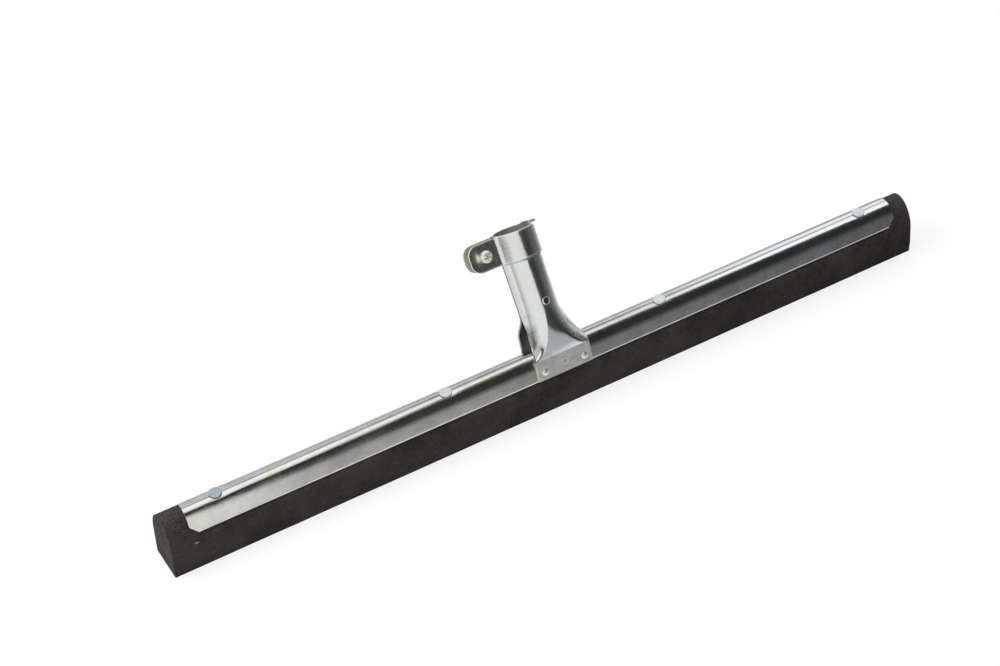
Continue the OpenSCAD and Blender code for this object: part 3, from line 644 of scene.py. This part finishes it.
def buildSocket():
    # one grid of turn and height for the tube and flare, the two plates below it and the tab at the mouth;
    # the inner skin lies one thickness inside
    s = socket
    cell = 0.45
    holeTurn = np.arange(-8, 9) * cell / s["tubeR"] / deg + s["fixTurn"]
    tabSpan = np.arcsin(s["tabHalf"] / (s["tubeR"] - s["thick"] / 2)) / deg
    tabTurns = s["tabTurn"] + np.linspace(-1, 1, 9) * tabSpan
    knots = joined([0], np.cumsum(flareKeys[:-1, 2]))
    wide = np.interp(np.arange(knots[-1] + 1), knots, flareKeys[:, 0])
    clear = (np.abs(wide[:, None] - holeTurn).min(1) > 0.04) & (np.abs(wide - s["tabTurn"]) > tabSpan + 0.8)
    angle = gridLines(wide[clear], holeTurn, tabTurns)
    holeZ = s["fixZ"] + np.arange(-8, 9) * cell
    z = gridLines(np.linspace(s["reach"], 41.8, 31), holeZ, [33.5, s["flareStart"]])[::-1]
    side = aroundTube(angle)
    onTab = np.abs(angle - s["tabTurn"]) < tabSpan + 0.01
    beside = np.abs(angle - s["tabTurn"] - 8)
    drop = np.where(onTab, s["tabDrop"], s["mouthDrop"] * ease(16, 44, beside))[None, :]
    drop = drop * ease(76, s["reach"], z)[:, None]
    turn, up = np.meshgrid(angle, z)
    # the fixing hole: a square of cells is left out, and the grid round it is drawn to a circle
    hx, hz = (turn - s["fixTurn"]) * deg * s["tubeR"], up - s["fixZ"]
    q = np.maximum(np.abs(hx), np.abs(hz))
    reach = np.maximum(np.hypot(hx, hz), 1e-9)
    blend = np.clip((q - 4 * cell) / (4 * cell), 0, 1)
    inward = (1 - blend) * s["fixR"] / reach * np.maximum(q / (4 * cell), 1e-3)
    pull = np.where(q < 8.2 * cell, inward + blend, 1)
    turn = s["fixTurn"] + hx * pull / s["tubeR"] / deg
    up = s["fixZ"] + hz * pull - drop
    burr = s["burr"] * bump(np.hypot(hx, hz) * pull - s["fixR"] - 0.35, 0.3)
    tube = (s["tubeR"] + burr)[..., None] * aroundTube(turn) + points(0, 0, up)
    share = np.linspace(0, 1, s["flareRows"])[1:]
    flare, edge, place, facet = flareGrid(angle, share)
    main = joined(tube, flare)
    rows, cols = main.shape[:2]
    grid = rows * cols
    frost = [np.zeros(grid)]
    index = indexGrid(rows, cols)
    keep = np.ones((rows - 1, cols - 1), bool)
    keep[:len(z) - 1] = ~((np.abs((hx[:-1, :-1] + hx[1:, 1:]) / 2) < 4 * cell)
                          & (np.abs((hz[:-1, :-1] + hz[1:, 1:]) / 2) < 4 * cell))
    faces = [facesOf(index)[keep.ravel()]]
    verts = [main.reshape(-1, 3)]
    frontOut, frontUp, rearUp, _, _ = flareEdge()
    for mask, upward, length, steps in ((place <= 1.0001, frontUp, s["plateRise"] + s["plateDrop"], 46),
                                        (place >= 1.9999, rearUp, s["plateDrop"] - s["rearTop"], 16)):
        down = np.linspace(0, length, steps + 1)[1:]
        plate = (edge[None, mask] - down[:, None, None] * upward).reshape(-1, 3)
        first = sum(len(v) for v in verts)
        below = indexGrid(steps, mask.sum(), first)
        faces.append(facesOf(np.vstack([index[-1][mask], below])))
        verts.append(plate)
        frost.append(np.ones(len(plate)))
    # the tab: bends out of the mouth and runs on square to the tube
    bendR = s["tabBend"]
    a = np.linspace(0, np.pi / 2, 7)[1:]
    outward = joined(bendR * (1 - np.cos(a)), np.linspace(bendR, s["tabReach"] - s["tubeR"], 5)[1:])
    lift = joined(bendR * np.sin(a), np.full(4, bendR))
    centre = aroundTube(s["tabTurn"])
    base = s["tubeR"] * side[onTab]
    flat = outward / outward.max()
    straight = (s["tubeR"] * (1 - np.cos((angle[onTab] - s["tabTurn"]) * deg)))[None, :, None] * centre
    tab = (base[None] + outward[:, None, None] * centre + flat[:, None, None] * straight
           + points(0, 0, s["reach"] - s["tabDrop"] + lift)[:, None])
    first = sum(len(v) for v in verts)
    faces.append(facesOf(np.vstack([indexGrid(len(outward), onTab.sum(), first)[::-1], index[0][onTab]])))
    verts.append(tab.reshape(-1, 3))
    frost.append(np.zeros(tab[..., 0].size))
    verts, faces, frost = np.vstack(verts), np.vstack(faces), np.concatenate(frost)
    rim, shade, flat, flank, olive, dusk, smudge, paintedWarmGlint = np.zeros((8, len(verts)))
    rim[: up.size] = (bump(np.hypot(hx, hz) * pull - s["fixR"] - 0.25, 0.4) * (q < 8.2 * cell)).ravel()
    under = ease(65.9, 66.9, up) * ease(68.2, 67.6, up)
    shade[: up.size] = (under * (0.45 + 0.55 * ease(-25, -5, angle))).ravel()
    flat[up.size: grid] = facet.ravel()
    downward = joined(ease(52, 36, up), np.ones(facet.shape))
    flank[:grid] = (downward * ease(18, 34, angle) * ease(150, 110, angle)).ravel()
    olive[:grid] = np.tile(bump(angle - 132, 24), rows)
    low = share[:, None]
    # painted shade beside the seam and a painted dark reflection low on the left of the flare, with a painted
    # warm glint under it
    smudge[: up.size] = np.tile(0.3 * ease(-56, -74, angle), len(z))
    smudge[up.size: grid] = (np.maximum(ease(0.08, 0.40, low), 0.3) * ease(0.72, 0.60, low)
                             * ease(-32, -58, angle)).ravel()
    # painted highlight: a warm glint low on the flare's left
    paintedWarmGlint[up.size: grid] = (ease(0.60, 0.72, low) * ease(-26, -50, angle)).ravel()
    # painted shade inside: low in the flare, and under the rim at the far right
    dusk[:grid] = joined(ease(44, 36, up), np.ones(facet.shape)).ravel()
    dusk[: up.size] = np.maximum(dusk[: up.size], (0.8 * ease(79, 85, up) * bump(angle - 105, 45)).ravel())
    normals = vertexNormals(verts, faces)
    if (normals[: len(angle)] * side).sum() < 0:
        faces, normals = faces[:, ::-1], -normals
    inner = verts - s["thick"] * normals
    # pressed marks on the front plate: a ring in the middle and a dent round each rivet
    out, high = verts @ frontOut, verts @ frontUp
    onPlate = (out > s["plateOut"] - 1.5) & (verts[:, 1] < 0)
    away = np.hypot(verts[:, 0] - s["plateShift"], high + s["ringDrop"])
    sink = s["ringDepth"] * bump(away - s["ringR"], s["ringW"])
    for along in (-1, 1):
        away = verts[:, 0] - s["plateShift"] - along * plateRivet["pitch"] / 2
        away = np.hypot(away, high + plateRivet["drop"][-1])
        sink = sink + s["dentDepth"] * bump(away - s["dentR"] + 0.4, 0.55)
    verts = verts - (sink * onPlate)[:, None] * frontOut
    used = np.unique(faces)
    renumber = np.full(len(verts), -1)
    renumber[used] = np.arange(len(used))
    solid, quads = shell(verts[used], inner[used], renumber[faces])
    outside, within = np.repeat([1.0, 0.0], len(used)), np.repeat([0.0, 1.0], len(used))
    marks = {}
    for where, chosen in ((1, {"frost": frost, "rim": rim}), (within, {"olive": olive, "dusk": dusk}),
                          (outside, {"facet": flat, "flank": flank, "shade": shade, "smudge": smudge,
                                     "honey": paintedWarmGlint})):
        for key, values in chosen.items():
            marks[key] = np.tile(values[used], 2) * where
    marks["honey"] = np.maximum(marks["frost"] * ease(-7, -16, solid[:, 0]), marks["honey"])
    marks["inside"] = within * (1 - marks["frost"])
    return onAxis(solid), quads, marks


makePiece("handleSocket", buildSocket(), zincSocket, ["handle_socket"], soften=0.25, crease=50)


# Clamp band: one strip round the tube with two ears for the screw

clampBand = {"ringR": 13.9, "thick": 1.2, "low": 67.6, "high": 85.8, "earMid": 4.7, "earReach": 35.0,
             "corner": 6.5, "bendR": 4.1, "bendX": 15.67, "dip": 1.3, "rearDip": 0.6, "dentX": 31.0,
             "dentUp": 0.6, "dentR": 2.3, "dentDepth": 0.65, "goldX": 6.5, "goldR": 3.2}


def buildBand():
    # half of the path: round the tube from the right, a reverse bend, then straight along the ear; mirrored
    s = clampBand
    corner = np.arctan2(s["earMid"] + s["bendR"], s["bendX"])
    ring, turnBack = np.pi - corner, np.pi / 2 - corner
    runs = [(s["ringR"] * ring, ring), (s["bendR"] * turnBack, -turnBack), (s["earReach"] - s["bendX"], 0)]
    total = sum(length for length, _ in runs)
    joints = np.cumsum([0] + [length for length, _ in runs])
    w = gridLines(np.linspace(0, joints[1], 45), np.linspace(joints[1], joints[2], 13),
                  np.linspace(joints[2], total - s["corner"], 9),
                  total - s["corner"] * (1 - np.sin(np.linspace(0, np.pi / 2, 16))))
    x, y, facing = walk(w, (s["ringR"], 0.0), np.pi / 2, runs)
    line, normal = (joined((part * (1, -1))[::-1], part[1:])
                    for part in (points(x, y), points(np.sin(facing), -np.cos(facing))))
    left = total - joined(w[::-1], w[1:])
    middle, half = (s["low"] + s["high"]) / 2, (s["high"] - s["low"]) / 2
    edge = np.clip(s["corner"] - left, 0, s["corner"])
    tall = half - s["corner"] + np.sqrt(s["corner"] ** 2 - edge ** 2)
    v = np.linspace(-1, 1, 15)
    ahead = np.arctan2(line[:, 0], -line[:, 1]) / deg
    dip = s["dip"] * ease(35, 65, ahead) * ease(150, 110, ahead) + s["rearDip"] * ease(75, 100, np.abs(ahead))
    z = middle + tall[:, None] * v - dip[:, None] * ease(0, 1, v)
    # beside the screw the front ear is bent back in a small hollow
    hollow = bump(np.hypot(line[:, :1] + s["dentX"], 0.8 * (z - placeOf["screwZ"] - s["dentUp"])), s["dentR"])
    hollow = s["dentDepth"] * hollow * (line[:, 1:] < 0)
    skin = [points(line[:, :1] + d * normal[:, :1], line[:, 1:] + d * normal[:, 1:] + hollow, z)
            for d in (s["thick"] / 2, -s["thick"] / 2)]
    verts, faces = shell(*skin, facesOf(indexGrid(len(line), len(v))))
    facing = np.repeat(np.arctan2(normal[:, 0], -normal[:, 1]) / deg, len(v))
    facing = joined(facing, facing)
    front = np.tile(np.repeat(line[:, 1] < 0, len(v)), 2)
    # painted reflection: a darker teal strip where the band's face turns to the left; painted highlight: a
    # golden glint on the front ear beside the screw
    away = np.hypot(verts[:, 0] + placeOf["screwX"] + s["goldX"], 0.8 * (verts[:, 2] - placeOf["screwZ"]))
    marks = {"teal": ease(-37, -46, facing) * front * (verts[:, 0] > -17),
             "gold": bump(away, s["goldR"]) * front,
             "olive": ease(-19, -21, verts[:, 0]) * (1 - front),
             "edge": np.tile(np.abs(np.tile(v, len(line))) > 0.99, 2)}
    return onAxis(verts), faces, marks


makePiece("clampBand", buildBand(), zincClamp, ["clamp_band"], soften=0.3, crease=50)


# Clamp screw: a pan head with a cross recess and a rolled thread

clampScrew = {"headR": 4.0, "headH": 3.0, "capH": 2.1, "threadR": 2.48, "rootR": 2.05, "length": 20.0,
              "pitch": 0.8, "crossL": 2.9, "crossW": 0.72, "crossDepth": 1.9, "crossTurn": 20.0, "seat": 0.05}


def buildScrew():
    # head: a cap whose height sinks in a cross with sloped walls; thread: radius follows a
    # triangle wave of height along the axis less the turn
    s = clampScrew
    turn = np.arange(96) / 96 * 2 * np.pi
    outer = 0.86 + 0.14 * np.sin(np.linspace(0, 1, 9)[1:] * np.pi / 2)
    r = joined(np.linspace(0, 0.86, 34), outer) * s["headR"]
    ball = (s["headR"] ** 2 + s["capH"] ** 2) / (2 * s["capH"])
    cap = s["headH"] - ball + np.sqrt(ball ** 2 - np.minimum(r, s["headR"] * 0.999) ** 2)
    x, y = r[:, None] * np.cos(turn), r[:, None] * np.sin(turn)
    c, d = np.cos(s["crossTurn"] * deg), np.sin(s["crossTurn"] * deg)
    ax, ay = np.abs(x * c + y * d), np.abs(y * c - x * d)
    arm = [ease(0.22, -0.08, across - s["crossW"]) * ease(0.25, -0.15, long - s["crossL"])
           for across, long in ((ax, ay), (ay, ax))]
    cross = np.maximum(*arm)
    head = points(x, y, cap[:, None] - s["crossDepth"] * cross * ease(2.9, 1.2, np.hypot(x, y)))
    rim = np.array([[s["headR"], 0.75], [3.92, 0.3], [3.7, 0.0], [s["threadR"], 0.0]])
    lower = polar(rim[:, :1], turn, rim[:, 1:])
    z = np.linspace(0, -s["length"], 161)[1:]
    phase = z[:, None] / s["pitch"] + turn / (2 * np.pi)
    tooth = np.abs(2 * (phase % 1) - 1)
    deep = s["rootR"] + (s["threadR"] - s["rootR"]) * np.clip(1.35 * tooth - 0.12, 0, 1)
    deep = deep - 0.5 * ease(-s["length"] + 1.0, -s["length"], z)[:, None]
    shaft = polar(deep, turn, z[:, None])
    tip = polar(0, turn, -s["length"])[None]
    grid = joined(head, lower, shaft, tip) + (0, 0, s["seat"])
    return onScrew(grid.reshape(-1, 3)), facesOf(indexGrid(*grid.shape[:2], closeCols=True))


makePiece("clampScrew", buildScrew(), zincScrew, ["clamp_screw"], crease=55, body="screw")


# Clamp nut: a hexagon with chamfered ends and a threaded bore

clampNut = {"flats": 8.0, "tall": 4.0, "cut": 0.75, "bore": 2.58, "face": -10.65, "pitch": 0.8,
            "thread": 0.06}


def buildNut():
    # the radius is the hexagon's, cut by a cone at each end; the bore runs back up inside
    s = clampNut
    turn = np.arange(120) / 120 * 2 * np.pi
    hexagon = s["flats"] / 2 / np.cos((turn % (np.pi / 3)) - np.pi / 6)
    tall, cut = s["tall"], s["cut"]
    z = joined([0], np.linspace(0, cut, 8), [tall / 2], np.linspace(tall - cut, tall, 8), [tall]) - tall
    deep = np.minimum(z + tall, -z)
    cone = (s["flats"] / 2 - 0.12 + 1.75 * deep)[:, None]
    r = np.minimum(hexagon[None, :], cone)
    r[[0, -1]] = s["bore"] + 0.3
    bore = np.linspace(0, -tall, 33)
    wave = np.abs(2 * ((bore[:, None] / s["pitch"] + turn / (2 * np.pi)) % 1) - 1)
    mouth = 0.25 * ease(-0.4, 0, bore) + 0.25 * ease(0.4 - tall, -tall, bore)
    wall = s["bore"] + s["thread"] * wave + mouth[:, None]
    r, z = np.vstack([r, wall]), joined(z, bore)
    grid = polar(r, turn, z[:, None]) + (0, 0, s["face"])
    return onScrew(grid.reshape(-1, 3)), facesOf(indexGrid(*r.shape, closeRows=True, closeCols=True))


makePiece("clampNut", buildNut(), zincScrew, ["clamp_nut"], crease=28, body="nut")

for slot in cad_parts["core_strip"].material_slots:
    slot.material = stripSteel
print("pieces ready")


# Stage helpers

def setAxes(made, right, up, back, spot):  # places a camera or a lamp by its own axes
    axes = np.eye(4)
    axes[:3] = np.stack([right, up, back, spot], 1)
    made.matrix_world = Matrix(axes.tolist())
    scene.collection.objects.link(made)


def stageSheet(name, corners, finish):  # one flat sheet with four corners
    mesh = bpy.data.meshes.new(name)
    mesh.from_pydata(corners, [], [(0, 1, 2, 3)])
    mesh.materials.append(finish)
    made = bpy.data.objects.new(name, mesh)
    scene.collection.objects.link(made)


# Camera: the photograph's angle, worked out for a frame 1000 wide and 666 high

cameraLook = {"turn": 29.7, "tilt": 44.45, "roll": -1.48, "away": 1581.39, "right": -34.93, "up": 37.9,
              "lens": 88.4934}


def buildCamera():
    s = cameraLook
    a, e, r = s["turn"] * deg, s["tilt"] * deg, s["roll"] * deg
    right = np.array([np.cos(a), -np.sin(a), 0])
    view = np.array([np.sin(a) * np.cos(e), np.cos(a) * np.cos(e), -np.sin(e)])
    up = np.cross(right, view)
    rolledRight, rolledUp = np.cos(r) * right + np.sin(r) * up, np.cos(r) * up - np.sin(r) * right
    spot = (s["right"] * rolledRight + s["up"] * rolledUp - s["away"] * view) * mm
    data = bpy.data.cameras.new("photoCamera")
    data.lens, data.sensor_width = s["lens"], 36
    data.clip_start, data.clip_end = 0.05, 20
    made = bpy.data.objects.new("photoCamera", data)
    setAxes(made, rolledRight, rolledUp, -view, spot)
    scene.camera = made


buildCamera()


# Floor: a pale sheet set square to the camera, white to the eye but shadowed by the object

floorSheet = {"left": -0.62, "right": 0.40, "near": -0.245, "far": 1.3, "tone": 0.27, "glow": 0.79,
              "mirror": 0.45, "nearGlow": 0.8}


def buildFloor():
    s = floorSheet
    a = cameraLook["turn"] * deg
    across, away = np.array([np.cos(a), -np.sin(a), 0]), np.array([np.sin(a), np.cos(a), 0])
    corners = [x * across + y * away for x, y in ((s["left"], s["near"]), (s["right"], s["near"]),
                                                  (s["right"], s["far"]), (s["left"], s["far"]))]
    finish, tree, shader, place = newFinish("floorPaper")
    shader.inputs["Roughness"].default_value = 1.0
    shader.inputs["Specular IOR Level"].default_value = 0.0
    tone = ramp(tree, noise(tree, place, 60.0, 3.0), 0.2, 0.8, s["tone"] - 0.005, s["tone"] + 0.005)
    tree.links.new(tone, shader.inputs["Base Color"])
    # in the metal the floor is white close to the object; further in front it is light on the left, dark to
    # the far left and on the right, and behind the object it fades to the right
    x, y, _ = addNode(tree, "SeparateXYZ", Vector=place).outputs
    mirror = maths(tree, "MULTIPLY", ramp(tree, x, -0.02, 0.10, s["mirror"], 0.0),
                   ramp(tree, x, -0.34, -0.10))
    fade = mixValue(tree, ramp(tree, y, -0.06, -0.02), 1.0, ramp(tree, x, 0.08, 0.28, 1.0, 0.12))
    near = maths(tree, "MULTIPLY", ramp(tree, y, -0.17, -0.09, 0.0, s["nearGlow"]), fade)
    mirror = maths(tree, "MAXIMUM", mirror, near)
    path = addNode(tree, "LightPath")
    seen = maths(tree, "MAXIMUM", path.outputs["Is Camera Ray"], path.outputs["Is Transmission Ray"])
    level = maths(tree, "MULTIPLY_ADD", path.outputs["Is Glossy Ray"], mirror,
                  maths(tree, "MULTIPLY", seen, s["glow"]))
    shader.inputs["Emission Color"].default_value = (1, 1, 1, 1)
    tree.links.new(level, shader.inputs["Emission Strength"])
    stageSheet("floorSheet", [c.tolist() for c in corners], finish)


buildFloor()


# Studio: a bright back and ceiling, a white panel front left, a dark front right

studio = {"back": 0.72, "backHigh": 0.61, "backLow": 0.42, "ceiling": 0.60, "right": 0.27, "panel": 0.95,
          "dark": 0.028, "lowGlow": 0.07, "spill": 0.19, "sideGlow": 0.045, "keyPower": 12.0, "keySize": 0.9,
          "keySpot": (-1.0, 0.35, 1.15)}
whitePanel = {"left": -2.4, "right": 0.2, "low": -0.4, "high": 2.4, "away": 1.5, "level": 0.95}


def buildPanel():
    # a white board behind the camera: it shows in the metal and is clear to the camera itself
    s = whitePanel
    corners = [(x, -s["away"], z) for x, z in ((s["left"], s["low"]), (s["left"], s["high"]),
                                               (s["right"], s["high"]), (s["right"], s["low"]))]
    finish, tree, shader, place = newFinish("panelGlow")
    tree.nodes.remove(shader)
    level = ramp(tree, noise(tree, place, 0.8, 2.0), 0.2, 0.8, s["level"] - 0.03, s["level"] + 0.03)
    glow = addNode(tree, "Emission", Strength=level)
    path = addNode(tree, "LightPath")
    both = addNode(tree, "MixShader", i0=path.outputs["Is Camera Ray"], i1=glow.outputs[0],
                   i2=addNode(tree, "BsdfTransparent").outputs[0])
    tree.links.new(both.outputs[0], tree.nodes["Material Output"].inputs["Surface"])
    stageSheet("whitePanel", corners, finish)


buildPanel()


def buildStudio():
    s = studio
    world = bpy.data.worlds.new("studio")
    scene.world = world
    world.use_nodes = True
    tree = world.node_tree
    glow = tree.nodes["Background"]
    way = addNode(tree, "TexCoord").outputs["Generated"]
    x, y, z = addNode(tree, "SeparateXYZ", Vector=way).outputs
    # overhead the front edge of the bright side curves: nearest at the left, furthest a little right
    curve = maths(tree, "ADD", ramp(tree, x, 0.24, 0.36, 0.18, -0.17), ramp(tree, x, 0.38, 0.48, 0.0, 0.16))
    edge = maths(tree, "MULTIPLY_ADD", curve, ramp(tree, z, 0.45, 0.70), y)
    back = ramp(tree, edge, -0.07, 0.07)
    onRight = ramp(tree, x, 0.36, 0.48)
    backLevel = maths(tree, "MULTIPLY_ADD", onRight, s["right"],
                      ramp(tree, z, 0.35, 0.74, s["back"], s["backHigh"]))
    overhead = maths(tree, "MULTIPLY", ramp(tree, z, 0.77, 0.90, 0.0, s["ceiling"]),
                     maths(tree, "MULTIPLY_ADD", onRight, -0.2, 1.0))
    backLevel = maths(tree, "ADD", backLevel, overhead)
    backLevel = maths(tree, "MULTIPLY", backLevel, ramp(tree, z, -0.05, 0.38, s["backLow"], 1.0))
    panel = maths(tree, "MULTIPLY", ramp(tree, x, -0.45, -0.25, 1.0, 0.0),
                  ramp(tree, z, 0.45, 0.70, 1.0, 0.0))
    panelLevel = ramp(tree, z, -0.20, 0.10, 0.42 * s["panel"], s["panel"])
    low = ramp(tree, maths(tree, "ABSOLUTE", maths(tree, "ADD", z, 0.1)), 0.08, 0.60, 1.0, 0.0)
    spill = maths(tree, "ADD", ramp(tree, x, 0.26, 0.44, s["spill"], 0.0),
                  ramp(tree, x, 0.60, 0.85, 0.0, s["sideGlow"]))
    front = maths(tree, "MULTIPLY_ADD", maths(tree, "ADD", spill, s["lowGlow"]), low, s["dark"])
    level = mixValue(tree, back, mixValue(tree, panel, front, panelLevel), backLevel)
    path = addNode(tree, "LightPath")
    level = mixValue(tree, path.outputs["Is Camera Ray"], level, 1.0)
    tree.links.new(level, glow.inputs["Strength"])
    glow.inputs["Color"].default_value = (1, 1, 1, 1)
    lamp = bpy.data.lights.new("keyLamp", "AREA")
    lamp.energy, lamp.size = s["keyPower"], s["keySize"]
    key = bpy.data.objects.new("keyLamp", lamp)
    key.visible_glossy = False
    spot = np.array(s["keySpot"])
    zAxis = unit(spot)
    xAxis = unit(np.cross([0, 0, 1], zAxis))
    setAxes(key, xAxis, np.cross(zAxis, xAxis), zAxis, spot)


buildStudio()
print("stage ready")
